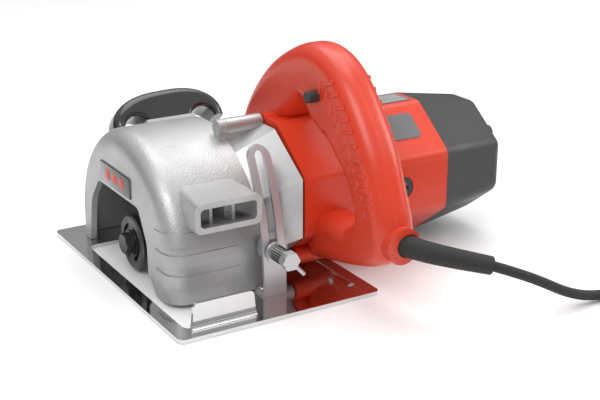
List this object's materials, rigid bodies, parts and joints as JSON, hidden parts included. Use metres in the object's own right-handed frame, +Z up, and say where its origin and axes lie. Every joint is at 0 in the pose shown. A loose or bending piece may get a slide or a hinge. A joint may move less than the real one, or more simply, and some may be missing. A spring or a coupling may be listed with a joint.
{
  "type": "wall chaser",
  "caption": "Handheld wall chaser: blade guard with dust outlet, hinged sole with depth arm, geared motor, D handle with trigger, front handle, cord with plug.",
  "frame": {"origin": "centre of the sole plate's underside, on the surface the tool stands on", "axes": "+Z up, +X along the spindle towards the motor, +Y the direction of feed"},
  "size_m": [0.4555, 0.4352, 0.1807],
  "materials": {
    "chrome_plate": "polished",
    "cast_guard": "hammered",
    "cast_housing": "satin",
    "orange_casing": "satin",
    "black_plastic": "matte",
    "glossy_black": "glossy",
    "black_rubber": "matte",
    "bright_steel": "brushed",
    "dark_steel": "dark",
    "plate_label": "satin",
    "badge_red": "satin",
    "copper": "satin",
    "brass": "satin",
    "felt": "matte",
    "carbon": "matte",
    "lamination": "satin"
  },
  "bodies": {
    "machine": {"blade_guard": "cast_guard", "guard_badge": "badge_red", "front_handle": "glossy_black", "front_handle_screws": "bright_steel", "gear_housing": "cast_housing", "bearing_plate": "black_plastic", "spindle_bearings": "bright_steel", "layshaft_bearings": "bright_steel", "armature_bearings": "bright_steel", "spindle_seal": "felt", "motor_housing": "orange_casing", "rear_cap": "black_plastic", "cap_screws": "bright_steel", "tie_screws": "bright_steel", "guard_screws": "bright_steel", "stator_core": "lamination", "stator_windings": "copper", "brush_holders": "brass", "brush_caps": "black_plastic", "carbon_brushes": "carbon", "brush_springs": "bright_steel", "handle_shell_left": "orange_casing", "handle_shell_right": "orange_casing", "handle_screws": "bright_steel", "trigger_pin": "bright_steel", "switch_body": "black_plastic", "clamp_stud": "bright_steel", "hinge_pin": "bright_steel", "rating_plate": "plate_label", "top_label": "plate_label", "cord_sleeve": "black_rubber", "power_cord": "black_rubber", "cord_coil": "black_rubber", "mains_plug": "black_rubber"},
    "sole": {"sole_plate": "chrome_plate", "depth_arm": "bright_steel", "arm_rivets": "bright_steel"},
    "spindle_group": {"spindle": "dark_steel", "spindle_gear": "dark_steel", "outer_flange": "bright_steel", "blade_spacers": "bright_steel", "inner_flange": "bright_steel", "flange_bolt": "bright_steel", "flange_washer": "bright_steel"},
    "layshaft_group": {"layshaft": "dark_steel", "layshaft_gear": "dark_steel"},
    "armature_group": {"armature_shaft": "dark_steel", "armature_core": "lamination", "armature_windings": "copper", "commutator": "copper", "cooling_fan": "black_plastic"},
    "trigger_body": {"trigger": "black_plastic"},
    "lock_body": {"lock_button": "black_plastic"},
    "clamp": {"clamp_nut": "bright_steel", "tommy_bar": "bright_steel", "clamp_washer": "bright_steel"}
  },
  "joints": [
    {"name": "sole_hinge", "type": "hinge", "parent": "machine", "child": "sole", "pos_m": [0, 0.114, 0.011], "axis": [1, 0, 0], "range_deg": [0, 20]},
    {"name": "armature_spin", "type": "hinge", "parent": "machine", "child": "armature_group", "pos_m": [0, -0.022, 0.062], "axis": [1, 0, 0], "continuous": true},
    {"name": "layshaft_spin", "type": "hinge", "parent": "machine", "child": "layshaft_group", "pos_m": [0, -0.00297, 0.03901], "axis": [1, 0, 0], "continuous": true},
    {"name": "spindle_spin", "type": "hinge", "parent": "machine", "child": "spindle_group", "pos_m": [0, 0.014, 0.024], "axis": [1, 0, 0], "continuous": true},
    {"name": "trigger_pull", "type": "hinge", "parent": "machine", "child": "trigger_body", "pos_m": [0.068, -0.087, 0.121], "axis": [1, 0, 0], "range_deg": [0, 5], "stiffness_Nm_per_rad": 2, "springref_deg": -8.59},
    {"name": "lock_push", "type": "slide", "parent": "machine", "child": "lock_body", "axis": [1, 0, 0], "range_m": [0, 0.003], "stiffness_N_per_m": 400, "springref_m": -0.003},
    {"name": "clamp_turn", "type": "hinge", "parent": "machine", "child": "clamp", "pos_m": [0.0118, -0.1, 0.037], "axis": [0, -1, 0], "range_deg": [0, 180]}
  ],
  "couplings": [
    {"joint": "layshaft_spin", "follows": "armature_spin", "ratio": -0.2},
    {"joint": "spindle_spin", "follows": "armature_spin", "ratio": 0.14286}
  ]
}
